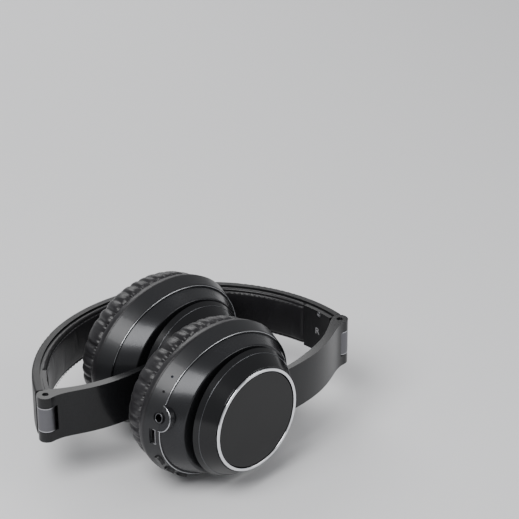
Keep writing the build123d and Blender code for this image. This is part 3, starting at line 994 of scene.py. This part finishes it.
def stitch_row(name, chains, body, tree, sockets, values):
    """Stitches along chains of points, made one plain mesh on its body."""
    mesh = bpy.data.meshes.new(name)
    edges, at = [], 0
    for chain in chains:
        edges += [(at + k, at + k + 1) for k in range(len(chain) - 1)]
        at += len(chain)
    mesh.from_pydata([tuple(p) for chain in chains for p in chain], edges, [])
    row = add_object(name, mesh)
    maker = row.modifiers.new("stitches", "NODES")
    maker.node_group = tree
    for key, value in values.items():
        maker[sockets[key]] = value
    apply_modifiers(row)
    row.data.shade_smooth()
    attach(row, body)
    return row


class HEADPHONES_OT_band_cushion(bpy.types.Operator):
    """Swell the band cushion and sew its two edges"""

    bl_idname = "headphones.band_cushion"
    bl_label = "Band cushion"

    def execute(self, context):
        s = context.scene.headphone_cushion
        rows, columns = 150, 36
        angles = np.linspace(s.start, math.pi - s.start, rows)
        arc = (angles - s.start) * s.outer_radius
        to_end = np.minimum(arc, arc[::-1])
        fullness = np.sqrt(np.clip(1 - (1 - np.clip(to_end / (3.2 * MM), 0, 1)) ** 2, 0.02, 1))
        grid = []
        for angle, full in zip(angles, fullness):
            section = []
            for k in range(columns):
                a = 2 * math.pi * k / columns
                c, t = math.cos(a), math.sin(a)
                z = (s.half_width - 0.1 * MM) * math.copysign(abs(c) ** 0.45, c)
                rise = s.thickness * 0.86 * full * abs(t) ** 0.6 if t > 0 else 0.0
                # crowned: fuller along the middle than near the sewn edges
                crown = 1.0 - 0.16 * (z / s.half_width) ** 2
                section.append((s.outer_radius - rise * crown, z * (0.985 + 0.015 * full)))
            section = np.array(section)
            grid.append(on_band(angle, section[:, 0], section[:, 1]))
        cushion = capped_sweep("soft_band_cushion", np.array(grid), FINISHES["band_leather"])
        points = rows_of(cushion.data)
        rel = points - np.array(BAND_MIDDLE)
        radius = np.hypot(rel[:, 0], rel[:, 1])
        held = np.where(
            (radius > s.outer_radius - 0.5 * MM) | (np.abs(rel[:, 2]) > s.half_width - 1.2 * MM),
            1.0, 0.0,
        )
        blow_up(cushion, held, CUSHION_PRESSURE, CUSHION_SWELL)
        refine(cushion, 1)
        points = rows_of(cushion.data)
        rel = points - np.array(BAND_MIDDLE)
        radius = np.hypot(rel[:, 0], rel[:, 1])
        angle = np.arctan2(rel[:, 1], rel[:, 0])
        height = rel[:, 2] / s.half_width
        raised = np.clip((s.outer_radius - radius) / (1.2 * MM), 0, 1)
        # the sewn channel beside each edge, and soft cross creases between them
        channel = CHANNEL_DEPTH * np.exp(-(((np.abs(height) - CHANNEL_PLACE) / 0.045) ** 2))
        crease = np.zeros(len(points))
        for k in range(CUSHION_CREASES):
            share = (k + 0.5 + 0.5 * (ragged(k) - 0.5)) / CUSHION_CREASES
            where = s.start + (math.pi - 2 * s.start) * share
            slant = 0.03 * (ragged(k + 50) - 0.5)
            reach = 0.35 + 0.4 * ragged(k + 80)
            side_of = 1 if ragged(k + 20) > 0.5 else -1
            near = np.exp(-(((angle - where - slant * height) / 0.011) ** 2))
            part = np.clip((height * side_of + reach) / 0.8, 0, 1)
            crease += CUSHION_CREASE_DEPTH * near * part
        deepest = np.maximum(radius, s.outer_radius - 0.3 * MM)
        radius = np.minimum(radius + (channel + crease) * raised, deepest)
        put(cushion, np.stack([
            BAND_MIDDLE.x + radius * np.cos(angle),
            BAND_MIDDLE.y + radius * np.sin(angle),
            points[:, 2],
        ], -1))
        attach(cushion, "headband")
        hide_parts("band_cushion")
        tree, sockets = stitch_tree()
        seam_radius = s.outer_radius - s.thickness * 0.80
        chains = []
        for edge in (-1, 1):
            path = np.linspace(s.start + 0.03, math.pi - s.start - 0.03, 200)
            chains.append(on_band(path, seam_radius, edge * s.half_width * CHANNEL_PLACE))
        row = stitch_row(
            "cushion_stitches", chains, "headband", tree, sockets,
            {
                "Pitch": s.stitch_pitch, "Length": s.stitch_length,
                "Thread radius": 0.2 * MM, "Finish": FINISHES["thread"],
            },
        )
        return {"FINISHED"}


# ---------------------------------------------------------------- screws


def screw_places(node):
    """Each screw of a CAD node: the middle of its head's face, the way it was driven from
    and its head's radius."""
    mesh = frame["nodes"][node].data
    co = rows_of(mesh)
    _, same = np.unique(np.round(co / (0.01 * MM)).astype(int), axis=0, return_inverse=True)
    same = same.ravel()
    parent = list(range(same.max() + 1))

    def root(k):
        while parent[k] != k:
            parent[k] = parent[parent[k]]
            k = parent[k]
        return k

    for face in mesh.polygons:
        first, *rest = (root(same[k]) for k in face.vertices)
        for other in rest:
            parent[root(other)] = root(first)
    roots = np.array([root(k) for k in same])
    found = []
    for one in np.unique(roots):
        points = co[roots == one]
        middle_point = points.mean(0)
        _, _, ways = np.linalg.svd(points - middle_point, full_matrices=False)
        ends = []
        for way in ways:
            run = (points - middle_point) @ way
            tips = []
            for sign in (1, -1):
                tip = points[run * sign > (run * sign).max() - 0.08 * MM]
                face_middle = (tip.max(0) + tip.min(0)) / 2
                tips.append((np.linalg.norm(tip - face_middle, axis=1).max(), face_middle))
            # the head's end is the wide one, and only the screw's own axis has a narrow end too
            tips.sort(key=lambda tip: -tip[0])
            ends.append((tips[0][0] - tips[1][0], tips[0][0], tips[0][1], tips[1][1]))
        _, radius, face_middle, far_end = max(ends, key=lambda end: end[0])
        way = (face_middle - far_end) / np.linalg.norm(face_middle - far_end)
        found.append((face_middle, way, radius))
    return found


def screw_mesh(name, rings=12, around=32):
    """A pan head of radius 1 with a cross recess, its face at zero, on a short shank."""
    points, faces = [(0.0, 0.0, -0.34)], []
    for i in range(1, rings + 1):
        radius = i / rings
        for j in range(around):
            a = 2 * math.pi * j / around
            x, y = radius * math.cos(a), radius * math.sin(a)
            arm = min(abs(x), abs(y))
            slot = min(1.0, max(0.0, (0.15 - arm) / 0.06))
            slot *= min(1.0, max(0.0, (0.66 - radius) / 0.12))
            dome = -0.22 * max(0.0, radius - 0.55) ** 2 / 0.2
            points.append((x, y, dome - 0.34 * slot))
    for radius, depth in ((1.0, -0.62), (0.48, -0.64), (0.46, -1.6)):
        for j in range(around):
            a = 2 * math.pi * j / around
            points.append((radius * math.cos(a), radius * math.sin(a), depth))
    points.append((0.0, 0.0, -1.6))
    last = len(points) - 1
    for j in range(around):
        k = (j + 1) % around
        faces.append((0, 1 + j, 1 + k))
        for i in range(rings + 2):
            a, b = 1 + i * around, 1 + (i + 1) * around
            faces.append((a + j, b + j, b + k, a + k))
        end = 1 + (rings + 2) * around
        faces.append((end + j, last, end + k))
    mesh = bpy.data.meshes.new(name)
    mesh.from_pydata(points, [], faces)
    mesh.update()
    return mesh


def screw_tree():
    """Geometry Nodes: one screw on every point, turned to its way and sized to its head."""
    tree, sockets, start, end = node_group(
        "screws",
        (
            ("Places", "Geometry", None), ("Screw", "Object", None),
            ("Head radius", "Float", None), ("Finish", "Material", None),
        ),
        "Screws",
    )
    nodes = tree.nodes
    info = nodes.new("GeometryNodeObjectInfo")
    way = nodes.new("GeometryNodeInputNamedAttribute")
    way.data_type = "FLOAT_VECTOR"
    way.inputs["Name"].default_value = "way"
    aim = nodes.new("FunctionNodeAlignRotationToVector")
    aim.axis = "Z"
    place = nodes.new("GeometryNodeInstanceOnPoints")
    real = nodes.new("GeometryNodeRealizeInstances")
    paint = nodes.new("GeometryNodeSetMaterial")
    for given, taker, socket in (
        (start.outputs["Places"], place, "Points"),
        (start.outputs["Screw"], info, "Object"),
        (info.outputs["Geometry"], place, "Instance"),
        (way.outputs["Attribute"], aim, "Vector"),
        (aim.outputs[0], place, "Rotation"),
        (start.outputs["Head radius"], place, "Scale"),
        (place.outputs[0], real, 0),
        (real.outputs[0], paint, "Geometry"),
        (start.outputs["Finish"], paint, "Material"),
        (paint.outputs[0], end, 0),
    ):
        tree.links.new(given, taker.inputs[socket])
    return tree, sockets


class HEADPHONES_OT_screws(bpy.types.Operator):
    """Set a cross recessed screw in each screw's place"""

    bl_idname = "headphones.screws"
    bl_label = "Screws"

    def execute(self, context):
        model = add_object("screw_model", screw_mesh("screw_model"))
        tree, sockets = screw_tree()
        for node, body in SCREW_NODES.items():
            places = screw_places(node)
            mesh = bpy.data.meshes.new(f"{node}_set")
            mesh.from_pydata([tuple(place[0]) for place in places], [], [])
            ways = mesh.attributes.new("way", "FLOAT_VECTOR", "POINT")
            for k, place in enumerate(places):
                ways.data[k].vector = place[1]
            piece = add_object(f"cross_{node}", mesh)
            maker = piece.modifiers.new("screws", "NODES")
            maker.node_group = tree
            maker[sockets["Screw"]] = model
            maker[sockets["Head radius"]] = float(np.median([place[2] for place in places]))
            maker[sockets["Finish"]] = FINISHES["screw"]
            apply_modifiers(piece)
            piece.data.shade_smooth()
            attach(piece, body)
            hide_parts(node)
        bpy.data.objects.remove(model)
        return {"FINISHED"}


# ---------------------------------------------------------------- bright lines and small marks


def edge_line_path(side, count=720):
    """The bright line's middle: round the step of the cup, and round the socket's boss."""
    t = even_angles(CUP_STEP_LONG, CUP_STEP_SHORT, count)
    u, z = CUP_STEP_LONG * np.cos(t), CUP_STEP_SHORT * np.sin(t)
    step = np.stack([u, z, np.full(count, CUP_STEP_OUT)], -1)
    if side == "left":
        return step
    face, axis = socket_face()
    rel = face - CUP[side][0]
    way = CUP[side][1]
    centre = np.array([rel.dot(way), rel.z, CUP_STEP_OUT])
    sideways = np.array([-axis.z, axis.dot(way), 0.0])
    sideways /= np.linalg.norm(sideways)
    along = (step - centre) @ sideways
    near = (np.abs(along) < BOSS_RADIUS) & ((step * centre)[:, :2].sum(1) > 0)
    # the row starts just past the boss, and ends with the arc over it
    kept = np.roll(step, -int(np.flatnonzero(near)[-1]) - 1, 0)[: count - near.sum()]
    arc = []
    turn = -1 if kept[-1] @ sideways < centre @ sideways else 1
    for a in np.linspace(0, math.pi, 48)[1:-1]:
        rise = np.array([0, 0, BOSS_RADIUS * math.sin(a)])
        arc.append(centre + sideways * BOSS_RADIUS * math.cos(a) * turn + rise)
    path = np.vstack([kept, arc])
    run = np.linalg.norm(np.diff(np.vstack([path, path[:1]]), axis=0), axis=1)
    place = np.concatenate([[0], np.cumsum(run)])
    closed = np.vstack([path, path[:1]])
    even = np.arange(count * 2) / (count * 2) * place[-1]
    return np.stack([np.interp(even, place, closed[:, k]) for k in range(3)], -1)


def socket_face():
    """Where the audio socket opens, and the way out of it."""
    mount = [m for m in frame["record"]["mounts"] if m["name"] == "headphone_jack"][0]
    axis = Vector(mount["axis"])
    return Vector(mount["pos_m"]) + axis * SOCKET_FACE, axis


def lined_ring(name, side, u, z, out, stand, width, rise, material, body):
    """A fine raised line through a closed row of cup points."""
    path = in_cup(side, u, z, out)
    normal = np.array(CUP[side][2])
    tangent = np.roll(path, -1, 0) - np.roll(path, 1, 0)
    tangent /= np.linalg.norm(tangent, axis=1, keepdims=True)
    across = np.cross(tangent, normal[None, :])
    across /= np.linalg.norm(across, axis=1, keepdims=True)
    outward = path - np.array(CUP[side][0])
    outward -= (outward @ normal)[:, None] * normal
    across *= np.sign((across * outward).sum(1, keepdims=True))
    upright = np.cross(across, tangent)
    upright *= np.sign(upright @ normal)[:, None]
    # tilted, as a chamfer between the rim's step and the barrel
    lean = math.radians(stand)
    flat = across * math.cos(lean) - upright * math.sin(lean)
    high = across * math.sin(lean) + upright * math.cos(lean)
    section = [
        (width / 2 * math.cos(a), rise * math.sin(a))
        for a in np.linspace(0, 2 * math.pi, 12, endpoint=False)
    ]
    grid = np.stack([path + flat * a + high * b for a, b in section], 1)
    ring = swept_ring(name, grid, material)
    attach(ring, body)
    return ring


def turned_ring(side, material):
    """The bright ring, turned with rounded edges in the space of its CAD node."""
    u, z, out = cup_measures(side, rows_of(frame["nodes"][f"trim_ring_{side}"].data))
    radius = np.hypot(u, z)
    mid, half = (radius.max() + radius.min()) / 2, (radius.max() - radius.min()) / 2
    low, high = out.min(), out.max()
    section = round_section(
        half * 0.98, (high - low) / 2 - 0.01 * MM, (high + low) / 2, 28, 0.55
    )
    return oval_ring(f"bright_ring_{side}", side, mid, mid, section, 256, material)


class HEADPHONES_OT_trim(bpy.types.Operator):
    """Lay the bright lines on the cups and caps and the ring round the socket"""

    bl_idname = "headphones.trim"
    bl_label = "Trim"

    def execute(self, context):
        s = context.scene.headphone_trim
        for side in SIDES:
            # a tilted strip on the cup's step as its chamfer; the strip's bright metal colour is a painted
            # highlight along that edge
            u, z, out = edge_line_path(side).T
            ring = lined_ring(
                f"cup_edge_line_{side}", side, u, z, out, 40, s.edge_line, 0.24 * MM,
                FINISHES["line"], f"cup_{side}",
            )
            # a raised bead round the cap stands for the cap's edge; its lighter metal grey is a painted highlight
            # on that edge
            t = np.linspace(0, 2 * math.pi, 360, endpoint=False)
            ring = lined_ring(
                f"cap_edge_line_{side}", side, CAP_LINE_RADIUS * np.cos(t),
                CAP_LINE_RADIUS * np.sin(t), np.full(360, CAP_LINE_OUT), 62, s.cap_line,
                0.13 * MM, FINISHES["seam"], f"arm_{side}",
            )
            ring = turned_ring(side, FINISHES["bright"])
            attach(ring, f"arm_{side}")
            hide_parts(f"trim_ring_{side}")
        face, axis = socket_face()
        face = face + axis * 0.55 * MM
        first = axis.cross(UP).normalized()
        second = axis.cross(first)
        rows, corners = 72, 12
        inner = SOCKET_MOUTH + s.socket_ring / 2 + 0.1 * MM
        grid = np.zeros((rows, corners, 3))
        for i in range(rows):
            a = 2 * math.pi * i / rows
            away = first * math.cos(a) + second * math.sin(a)
            for j in range(corners):
                b = 2 * math.pi * j / corners
                grid[i, j] = (
                    face + away * (inner + s.socket_ring / 2 * math.cos(b))
                    + axis * (0.22 * MM * math.sin(b))
                )
        ring = swept_ring("socket_ring", grid, FINISHES["hinge"])
        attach(ring, "cup_right")
        return {"FINISHED"}


class HEADPHONES_OT_side_marks(bpy.types.Operator):
    """Print a plain L and R inside the band's ends"""

    bl_idname = "headphones.side_marks"
    bl_label = "Side marks"

    def execute(self, context):
        for side, letter in (("left", "L"), ("right", "R")):
            curve = bpy.data.curves.new(f"mark_{side}", "FONT")
            curve.body, curve.size = letter, MARK_HEIGHT
            curve.extrude = 0.05 * MM
            curve.align_x, curve.align_y = "CENTER", "CENTER"
            text = add_object(f"mark_text_{side}", curve)
            graph = bpy.context.evaluated_depsgraph_get()
            mesh = bpy.data.meshes.new_from_object(text.evaluated_get(graph))
            bpy.data.objects.remove(text)
            angle = MARK_ANGLE if side == "right" else math.pi - MARK_ANGLE
            co = rows_of(mesh)
            # wrapped on the inner face: across the letter runs round the band
            reading = angle - co[:, 0] / END_COVER_RADIUS
            placed = on_band(
                reading, END_COVER_RADIUS - 0.02 * MM - co[:, 2], co[:, 1]
            )
            mesh.vertices.foreach_set("co", placed.ravel())
            mesh.materials.clear()
            mesh.materials.append(FINISHES["mark"])
            mark = add_object(f"side_mark_{side}", mesh)
            mesh.update()
            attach(mark, "headband")
        return {"FINISHED"}


# ---------------------------------------------------------------- studio


class HEADPHONES_OT_studio(bpy.types.Operator):
    """Set out the floor, the lights and the camera"""

    bl_idname = "headphones.studio"
    bl_label = "Studio"

    def execute(self, context):
        s = context.scene.headphone_studio
        size = 3.0
        corners = [(-size, -size, 0), (size, -size, 0), (size, size, 0), (-size, size, 0)]
        floor = new_piece(
            "floor", corners, [(0, 1, 2, 3)], floor_paper("floor paper", tuple(s.floor)),
            smooth=False,
        )
        lights = (
            ("key", (-0.45, -0.25, 0.75), 0.55, s.key_power),
            ("fill", (0.75, -0.55, 0.45), 0.6, s.fill_power),
            ("back", (0.15, 0.8, 0.6), 0.7, s.fill_power * 1.2),
        )
        for name, place, width, power in lights:
            lamp = bpy.data.lights.new(name, "AREA")
            lamp.shape, lamp.size, lamp.energy = "DISK", width, power
            item = add_object(name, lamp)
            item.location = place
            aim = Vector((0, 0, 0.03)) - Vector(place)
            item.rotation_euler = aim.to_track_quat("-Z", "Y").to_euler()
        world = bpy.data.worlds.new("studio air")
        world.use_nodes = True
        back = world.node_tree.nodes["Background"]
        back.inputs["Color"].default_value = (0.92, 0.93, 0.95, 1)
        back.inputs["Strength"].default_value = 0.38
        context.scene.world = world
        lens = bpy.data.cameras.new("camera")
        lens.lens, lens.sensor_width = CAMERA_LENS, 36.0
        lens.clip_start, lens.clip_end = 0.05, 20
        camera = add_object("camera", lens)
        camera.location = CAMERA_PLACE
        camera.rotation_mode = "QUATERNION"
        camera.rotation_quaternion = Vector(CAMERA_AIM).to_track_quat("-Z", "Y")
        context.scene.camera = camera
        return {"FINISHED"}


class HEADPHONES_PT_panel(bpy.types.Panel):
    """The headphones' sizes, colours and steps"""

    bl_idname = "HEADPHONES_PT_panel"
    bl_label = "Headphones"
    bl_space_type = "VIEW_3D"
    bl_region_type = "UI"
    bl_category = "Headphones"

    def draw(self, context):
        layout = self.layout
        for group in GROUPS:
            box = layout.box()
            box.label(text=group)
            settings = getattr(context.scene, group)
            for name in settings.__class__.__annotations__:
                box.prop(settings, name)
        for step in STEPS:
            layout.operator(step.bl_idname)


GROUPS = {
    "headphone_pads": EarPadSizes,
    "headphone_cushion": CushionSizes,
    "headphone_trim": TrimSizes,
    "headphone_colours": FinishColours,
    "headphone_studio": StudioSettings,
}
STEPS = (
    HEADPHONES_OT_finishes,
    HEADPHONES_OT_ear_pads,
    HEADPHONES_OT_band_cushion,
    HEADPHONES_OT_screws,
    HEADPHONES_OT_trim,
    HEADPHONES_OT_side_marks,
    HEADPHONES_OT_studio,
)


def register():
    for item in (*GROUPS.values(), *STEPS, HEADPHONES_PT_panel):
        bpy.utils.register_class(item)
    for name, group in GROUPS.items():
        setattr(bpy.types.Scene, name, bpy.props.PointerProperty(type=group))


def unregister():
    for name in GROUPS:
        delattr(bpy.types.Scene, name)
    for item in reversed((*GROUPS.values(), *STEPS, HEADPHONES_PT_panel)):
        bpy.utils.unregister_class(item)


def main():
    register()
    for step in STEPS:
        group, _, name = step.bl_idname.partition(".")
        getattr(getattr(bpy.ops, group), name)()


if __name__ == "__main__":
    main()
